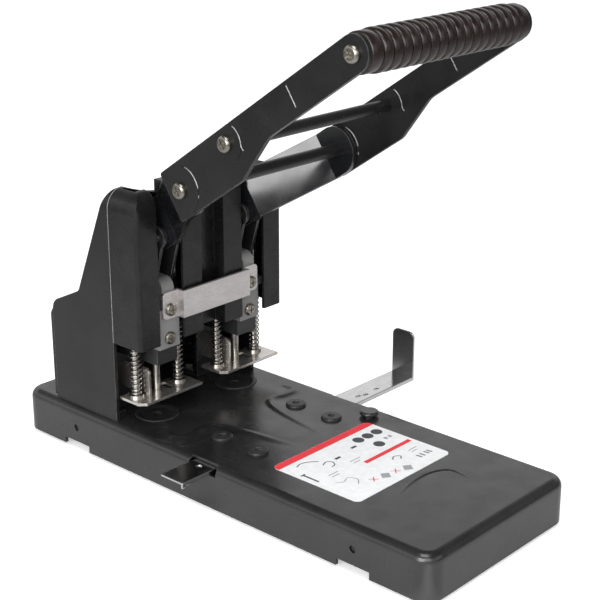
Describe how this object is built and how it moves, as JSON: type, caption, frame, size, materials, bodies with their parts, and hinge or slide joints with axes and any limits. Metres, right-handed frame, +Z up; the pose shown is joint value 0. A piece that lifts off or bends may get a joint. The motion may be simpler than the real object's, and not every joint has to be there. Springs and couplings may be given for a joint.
{
  "type": "heavy duty hole punch",
  "caption": "Desk hole punch with a long black base, a rear tower, a fork-shaped lever handle with a ribbed grip, spring-loaded punch heads and a sliding paper guide.",
  "frame": {"origin": "on the table under the centre of the base shell", "axes": "+X to the user's right, +Y to the back, towards the tower, +Z up"},
  "size_m": [0.245, 0.385, 0.3358],
  "materials": {
    "body_paint": "satin black paint",
    "cover_plastic": "satin black",
    "tray_paint": "matt black paint",
    "foot_rubber": "matt",
    "black_steel": "blackened steel",
    "arm_paint": "gloss black paint",
    "grip_rubber": "satin",
    "frame_steel": "grey zinc coat",
    "head_grey": "cast grey",
    "bright_steel": "bright nickel",
    "strap_steel": "brushed",
    "zinc": "zinc plate",
    "screw_nickel": "nickel plate",
    "clip_steel": "dark spring steel",
    "button_plastic": "gloss",
    "label_film": "printed film"
  },
  "bodies": {
    "base": {"base_shell": "body_paint", "bottom_tray": "tray_paint", "feet": "foot_rubber", "tray_screws": "black_steel", "die_left": "black_steel", "die_right": "black_steel", "casing_shell": "body_paint", "casing_screws": "screw_nickel", "front_cover": "cover_plastic", "rear_cover": "body_paint", "cover_screws": "screw_nickel", "frame_left": "frame_steel", "frame_right": "frame_steel", "frame_bolts": "screw_nickel", "frame_nuts": "screw_nickel", "pivot_shaft": "bright_steel", "shaft_clips": "clip_steel", "guide_straps": "frame_steel", "guide_screws": "black_steel", "label": "label_film", "lock_spring": "bright_steel"},
    "handle": {"arm_left": "arm_paint", "arm_right": "arm_paint", "lever_left": "arm_paint", "lever_right": "arm_paint", "grip": "grip_rubber", "grip_rod": "bright_steel", "lower_rod": "arm_paint", "upper_rod": "arm_paint", "arm_screws": "screw_nickel", "link_pins": "bright_steel"},
    "link_left": {"links_left": "frame_steel"},
    "link_right": {"links_right": "frame_steel"},
    "heads": {"head_left": "head_grey", "head_right": "head_grey", "holder_left": "black_steel", "holder_right": "black_steel", "punch_left": "bright_steel", "punch_right": "bright_steel", "strap": "strap_steel", "head_screws": "screw_nickel", "head_pins": "bright_steel"},
    "stripper_left": {"stripper_left": "bright_steel", "guide_rods_left": "bright_steel", "rod_clips_left": "clip_steel", "springs_left": "bright_steel"},
    "stripper_right": {"stripper_right": "bright_steel", "guide_rods_right": "bright_steel", "rod_clips_right": "clip_steel", "springs_right": "bright_steel"},
    "guide": {"guide_bar": "zinc"},
    "button": {"lock_button": "button_plastic", "lock_clip": "clip_steel"}
  },
  "joints": [
    {"name": "handle_swing", "type": "hinge", "parent": "base", "child": "handle", "pos_m": [0, 0.0975, 0.157], "axis": [1, 0, 0], "range_deg": [0, 50], "stiffness_Nm_per_rad": 4, "springref_deg": -57.3},
    {"name": "head_slide", "type": "slide", "parent": "base", "child": "heads", "axis": [0, 0, -1], "range_m": [0, 0.0282]},
    {"name": "link_left_turn", "type": "hinge", "parent": "handle", "child": "link_left", "pos_m": [-0.04, 0.06759, 0.17095], "axis": [1, 0, 0], "range_deg": [-50.5, 0]},
    {"name": "stripper_left_slide", "type": "slide", "parent": "base", "child": "stripper_left", "axis": [0, 0, -1], "range_m": [0, 0.0163], "deforming": ["springs_left"]},
    {"name": "link_right_turn", "type": "hinge", "parent": "handle", "child": "link_right", "pos_m": [0.04, 0.06759, 0.17095], "axis": [1, 0, 0], "range_deg": [-50.5, 0]},
    {"name": "stripper_right_slide", "type": "slide", "parent": "base", "child": "stripper_right", "axis": [0, 0, -1], "range_m": [0, 0.0163], "deforming": ["springs_right"]},
    {"name": "guide_slide", "type": "slide", "parent": "base", "child": "guide", "axis": [1, 0, 0], "range_m": [-0.062, 0.026]},
    {"name": "button_press", "type": "slide", "parent": "base", "child": "button", "axis": [0, 0, -1], "range_m": [0, 0.0015], "stiffness_N_per_m": 200, "springref_m": -0.003, "deforming": ["lock_spring"]}
  ],
  "couplings": [
    {"joint": "head_slide", "follows": "handle_swing", "m_per_rad": 0.03196},
    {"joint": "link_left_turn", "follows": "handle_swing", "ratio": -1},
    {"joint": "stripper_left_slide", "follows": "handle_swing", "m_per_rad": 0.01856},
    {"joint": "link_right_turn", "follows": "handle_swing", "ratio": -1},
    {"joint": "stripper_right_slide", "follows": "handle_swing", "m_per_rad": 0.01856}
  ]
}
